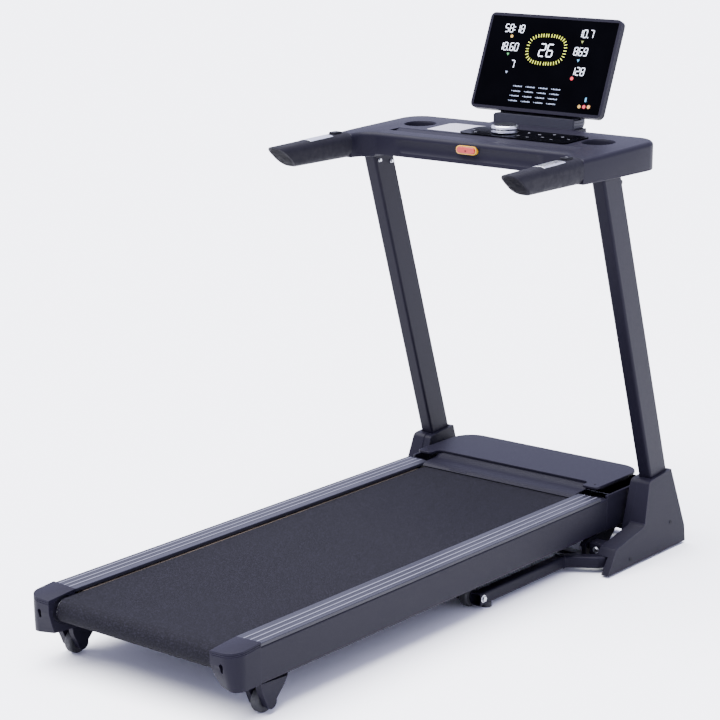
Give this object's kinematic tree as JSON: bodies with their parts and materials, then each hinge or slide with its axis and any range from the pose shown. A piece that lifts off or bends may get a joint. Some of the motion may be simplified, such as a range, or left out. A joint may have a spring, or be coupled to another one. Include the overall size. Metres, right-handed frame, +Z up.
{
  "type": "treadmill",
  "caption": "Folding motorised treadmill with a tilting screen, twin uprights, padded grips and a deck that lifts and folds.",
  "frame": {"origin": "on the floor, under the centre of the bounding box", "axes": "+X is the runner's right, +Y points forward to the console, +Z is up"},
  "size_m": [0.775, 1.6405, 1.3255],
  "materials": {
    "painted_steel": "dark grey powder coat",
    "dark_plastic": "fine grained dark grey",
    "black_plastic": "black",
    "rail_plastic": "ribbed dark grey",
    "black_rubber": "black",
    "belt_cloth": "fine woven charcoal",
    "bare_steel": "bright",
    "board_laminate": "waxed laminate board",
    "motor_black": "black",
    "controller_metal": "plain",
    "panel_black": "gloss black",
    "knob_metal": "satin chrome",
    "screen_black": "gloss black",
    "key_red": "red"
  },
  "bodies": {
    "base": {"base_arm_right": "painted_steel", "base_arm_left": "painted_steel", "base_rear_tube": "painted_steel", "base_front_tube": "painted_steel", "floor_pad_rear_right": "black_rubber", "floor_pad_rear_left": "black_rubber", "floor_pad_front_right": "black_rubber", "floor_pad_front_left": "black_rubber", "lift_lug_right": "painted_steel", "lift_lug_left": "painted_steel", "upright_right": "painted_steel", "upright_left": "painted_steel", "foot_cover_right": "dark_plastic", "foot_cover_left": "dark_plastic", "lift_motor": "black_plastic", "console_lower_shell": "dark_plastic", "console_upper_shell": "dark_plastic", "grip_right": "black_rubber", "grip_left": "black_rubber", "control_panel": "panel_black", "screen_stand": "dark_plastic"},
    "transport_wheel_right": {"transport_wheel_right": "black_rubber"},
    "transport_wheel_left": {"transport_wheel_left": "black_rubber"},
    "thumb_key_right": {"thumb_key_right": "black_plastic"},
    "thumb_key_left": {"thumb_key_left": "black_plastic"},
    "control_knob": {"control_knob": "knob_metal"},
    "screen": {"screen_shell": "dark_plastic", "screen_glass": "screen_black"},
    "safety_key": {"safety_key": "key_red"},
    "lift_frame": {"lift_arm_right": "painted_steel", "lift_arm_left": "painted_steel", "lift_crossbar": "painted_steel"},
    "lift_screw": {"lift_screw": "bare_steel"},
    "fold_shaft": {"fold_shaft": "bare_steel"},
    "strut_cylinder": {"strut_cylinder": "black_plastic"},
    "strut_rod": {"strut_rod": "bare_steel"},
    "deck": {"deck_beam_right": "painted_steel", "deck_beam_left": "painted_steel", "foot_rail_right": "rail_plastic", "foot_rail_left": "rail_plastic", "front_plate_right": "painted_steel", "front_plate_left": "painted_steel", "rear_cap_right": "dark_plastic", "rear_cap_left": "dark_plastic", "wheel_fork_right": "black_plastic", "wheel_fork_left": "black_plastic", "deck_board": "board_laminate", "running_belt": "belt_cloth", "deck_cross_tube_front": "painted_steel", "deck_cross_tube_rear": "painted_steel", "motor_pan": "painted_steel", "motor_hood": "dark_plastic", "drive_motor": "motor_black", "drive_belt": "black_rubber", "motor_controller": "controller_metal"},
    "rear_wheel_right": {"rear_wheel_right": "black_rubber"},
    "rear_wheel_left": {"rear_wheel_left": "black_rubber"},
    "front_roller": {"front_roller": "bare_steel"},
    "rear_roller": {"rear_roller": "bare_steel"},
    "motor_pulley": {"motor_pulley": "bare_steel"}
  },
  "joints": [
    {"name": "transport_wheel_right_turn", "type": "hinge", "parent": "base", "child": "transport_wheel_right", "pos_m": [0.2372, 0.081, 0.0305], "axis": [1, 0, 0], "continuous": true},
    {"name": "transport_wheel_left_turn", "type": "hinge", "parent": "base", "child": "transport_wheel_left", "pos_m": [-0.2372, 0.081, 0.0305], "axis": [1, 0, 0], "continuous": true},
    {"name": "thumb_key_right_press", "type": "slide", "parent": "base", "child": "thumb_key_right", "axis": [0, 0, -1], "range_m": [0, 0.0015], "stiffness_N_per_m": 900, "springref_m": -0.001},
    {"name": "thumb_key_left_press", "type": "slide", "parent": "base", "child": "thumb_key_left", "axis": [0, 0, -1], "range_m": [0, 0.0015], "stiffness_N_per_m": 900, "springref_m": -0.001},
    {"name": "control_knob_turn", "type": "hinge", "parent": "base", "child": "control_knob", "pos_m": [0.006, 0.532, 1.0577], "axis": [0, 0, 1], "continuous": true},
    {"name": "screen_tilt", "type": "hinge", "parent": "base", "child": "screen", "pos_m": [0, 0.704, 1.096], "axis": [-1, 0, 0], "range_deg": [-6, 20]},
    {"name": "safety_key_pull", "type": "slide", "parent": "base", "child": "safety_key", "axis": [0, -1, 0], "range_m": [0, 0.03]},
    {"name": "incline_lift", "type": "hinge", "parent": "base", "child": "lift_frame", "pos_m": [0, 0.53, 0.045], "axis": [1, 0, 0], "range_deg": [0, 36]},
    {"name": "incline_screw", "type": "slide", "parent": "base", "child": "lift_screw", "axis": [0, 1, 0], "range_m": [0, 0.0165]},
    {"name": "fold_shaft_turn", "type": "hinge", "parent": "lift_frame", "child": "fold_shaft", "pos_m": [0, 0.69, 0.12], "axis": [1, 0, 0], "range_deg": [-33, 0]},
    {"name": "deck_fold", "type": "hinge", "parent": "fold_shaft", "child": "deck", "pos_m": [0, 0.69, 0.12], "axis": [-1, 0, 0], "range_deg": [0, 62]},
    {"name": "strut_turn", "type": "hinge", "parent": "fold_shaft", "child": "strut_cylinder", "pos_m": [0, 0.6767, 0.036], "axis": [-1, 0, 0], "range_deg": [0, 58]},
    {"name": "strut_extend", "type": "slide", "parent": "strut_cylinder", "child": "strut_rod", "axis": [0, -0.9969, 0.0788], "range_m": [0, 0.084]},
    {"name": "rear_wheel_right_turn", "type": "hinge", "parent": "deck", "child": "rear_wheel_right", "pos_m": [0.2746, -0.704, 0.028], "axis": [1, 0, 0], "continuous": true},
    {"name": "rear_wheel_left_turn", "type": "hinge", "parent": "deck", "child": "rear_wheel_left", "pos_m": [-0.2746, -0.704, 0.028], "axis": [1, 0, 0], "continuous": true},
    {"name": "front_roller_turn", "type": "hinge", "parent": "deck", "child": "front_roller", "pos_m": [0, 0.567, 0.131], "axis": [1, 0, 0], "continuous": true},
    {"name": "rear_roller_turn", "type": "hinge", "parent": "deck", "child": "rear_roller", "pos_m": [0, -0.776, 0.131], "axis": [1, 0, 0], "continuous": true},
    {"name": "motor_pulley_turn", "type": "hinge", "parent": "deck", "child": "motor_pulley", "pos_m": [0, 0.742, 0.127], "axis": [1, 0, 0], "continuous": true}
  ],
  "couplings": [
    {"joint": "incline_screw", "follows": "incline_lift", "m_per_rad": 0.0253},
    {"joint": "fold_shaft_turn", "follows": "incline_lift", "ratio": -0.907},
    {"joint": "strut_turn", "follows": "deck_fold", "ratio": 0.9328},
    {"joint": "strut_extend", "follows": "deck_fold", "m_per_rad": 0.0769},
    {"joint": "rear_roller_turn", "follows": "front_roller_turn", "ratio": 1},
    {"joint": "motor_pulley_turn", "follows": "front_roller_turn", "ratio": 1.1818}
  ]
}
